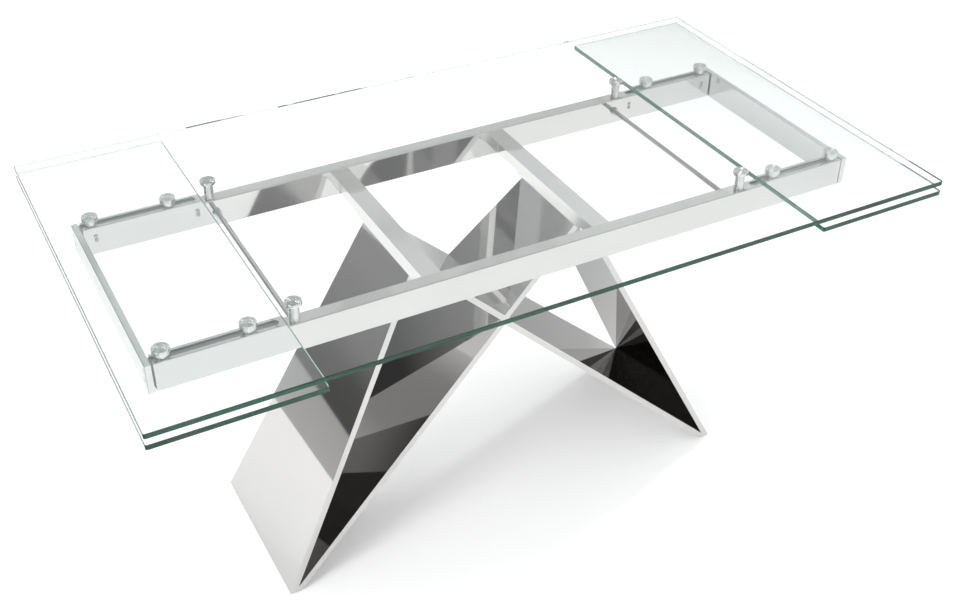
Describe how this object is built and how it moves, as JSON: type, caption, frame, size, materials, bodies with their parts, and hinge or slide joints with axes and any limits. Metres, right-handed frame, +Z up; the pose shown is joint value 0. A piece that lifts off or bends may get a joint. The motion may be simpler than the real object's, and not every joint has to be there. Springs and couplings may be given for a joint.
{
  "type": "extendable dining table",
  "caption": "Extendable dining table with a clear glass top, sliding glass end leaves on a steel tube frame, and a crossed base of polished steel panels.",
  "frame": {"origin": "on the floor, under the middle of the table", "axes": "+X along the table's length, the leaves slide out along -X and +X; +Y across it, towards the back; +Z up"},
  "size_m": [1.6, 0.9, 0.76],
  "materials": {
    "clear_glass": "clear float glass, tempered, ground edges with a green cast",
    "polished_steel": "mirror-polished stainless steel plate",
    "satin_steel": "bright polished stainless steel tube",
    "turned_steel": "lathe-turned stainless steel, bright",
    "bar_aluminium": "extruded aluminium, anodised",
    "zinc_steel": "zinc-plated steel",
    "glide_plastic": "clear-grey nylon glide strip"
  },
  "bodies": {
    "root": {"top_glass": "clear_glass", "standoff_screws": "zinc_steel", "tie_rod_nuts": "zinc_steel", "slide_mount_screws": "zinc_steel", "base_panel_cross_left": "polished_steel", "base_panel_cross_right_lower": "polished_steel", "base_panel_cross_right_upper": "polished_steel", "base_bolts": "zinc_steel", "base_nuts": "zinc_steel", "side_rail_front": "satin_steel", "side_rail_back": "satin_steel", "crossbar_left": "satin_steel", "tie_rod_left": "satin_steel", "base_panel_outer_left": "polished_steel", "base_head_plate_left": "zinc_steel", "foot_sole_left": "glide_plastic", "standoff_front_left": "turned_steel", "slide_outer_front_left": "zinc_steel", "standoff_back_left": "turned_steel", "slide_outer_back_left": "zinc_steel", "crossbar_right": "satin_steel", "tie_rod_right": "satin_steel", "base_panel_outer_right": "polished_steel", "base_head_plate_right": "zinc_steel", "foot_sole_right": "glide_plastic", "standoff_front_right": "turned_steel", "slide_outer_front_right": "zinc_steel", "standoff_back_right": "turned_steel", "slide_outer_back_right": "zinc_steel"},
    "left_leaf_carriage": {"leaf_glass_left": "clear_glass", "end_bar_left": "satin_steel", "leaf_pad_studs_left": "zinc_steel", "carriage_screws_left": "zinc_steel", "leaf_pad_inner_front_left": "turned_steel", "leaf_pad_outer_front_left": "turned_steel", "slide_inner_front_left": "zinc_steel", "slider_bar_front_left": "bar_aluminium", "leaf_pad_inner_back_left": "turned_steel", "leaf_pad_outer_back_left": "turned_steel", "slide_inner_back_left": "zinc_steel", "slider_bar_back_left": "bar_aluminium"},
    "left_slide_stage": {"slide_middle_front_left": "zinc_steel", "slide_middle_back_left": "zinc_steel"},
    "right_leaf_carriage": {"leaf_glass_right": "clear_glass", "end_bar_right": "satin_steel", "leaf_pad_studs_right": "zinc_steel", "carriage_screws_right": "zinc_steel", "leaf_pad_inner_front_right": "turned_steel", "leaf_pad_outer_front_right": "turned_steel", "slide_inner_front_right": "zinc_steel", "slider_bar_front_right": "bar_aluminium", "leaf_pad_inner_back_right": "turned_steel", "leaf_pad_outer_back_right": "turned_steel", "slide_inner_back_right": "zinc_steel", "slider_bar_back_right": "bar_aluminium"},
    "right_slide_stage": {"slide_middle_front_right": "zinc_steel", "slide_middle_back_right": "zinc_steel"}
  },
  "joints": [
    {"name": "left_leaf_slide", "type": "slide", "parent": "root", "child": "left_leaf_carriage", "axis": [-1, 0, 0], "range_m": [0, 0.3]},
    {"name": "right_leaf_slide", "type": "slide", "parent": "root", "child": "right_leaf_carriage", "axis": [1, 0, 0], "range_m": [0, 0.3]},
    {"name": "left_stage_slide", "type": "slide", "parent": "root", "child": "left_slide_stage", "axis": [-1, 0, 0], "range_m": [0, 0.15]},
    {"name": "right_stage_slide", "type": "slide", "parent": "root", "child": "right_slide_stage", "axis": [1, 0, 0], "range_m": [0, 0.15]}
  ],
  "couplings": [
    {"joint": "left_stage_slide", "follows": "left_leaf_slide", "ratio": 0.5},
    {"joint": "right_stage_slide", "follows": "right_leaf_slide", "ratio": 0.5}
  ]
}
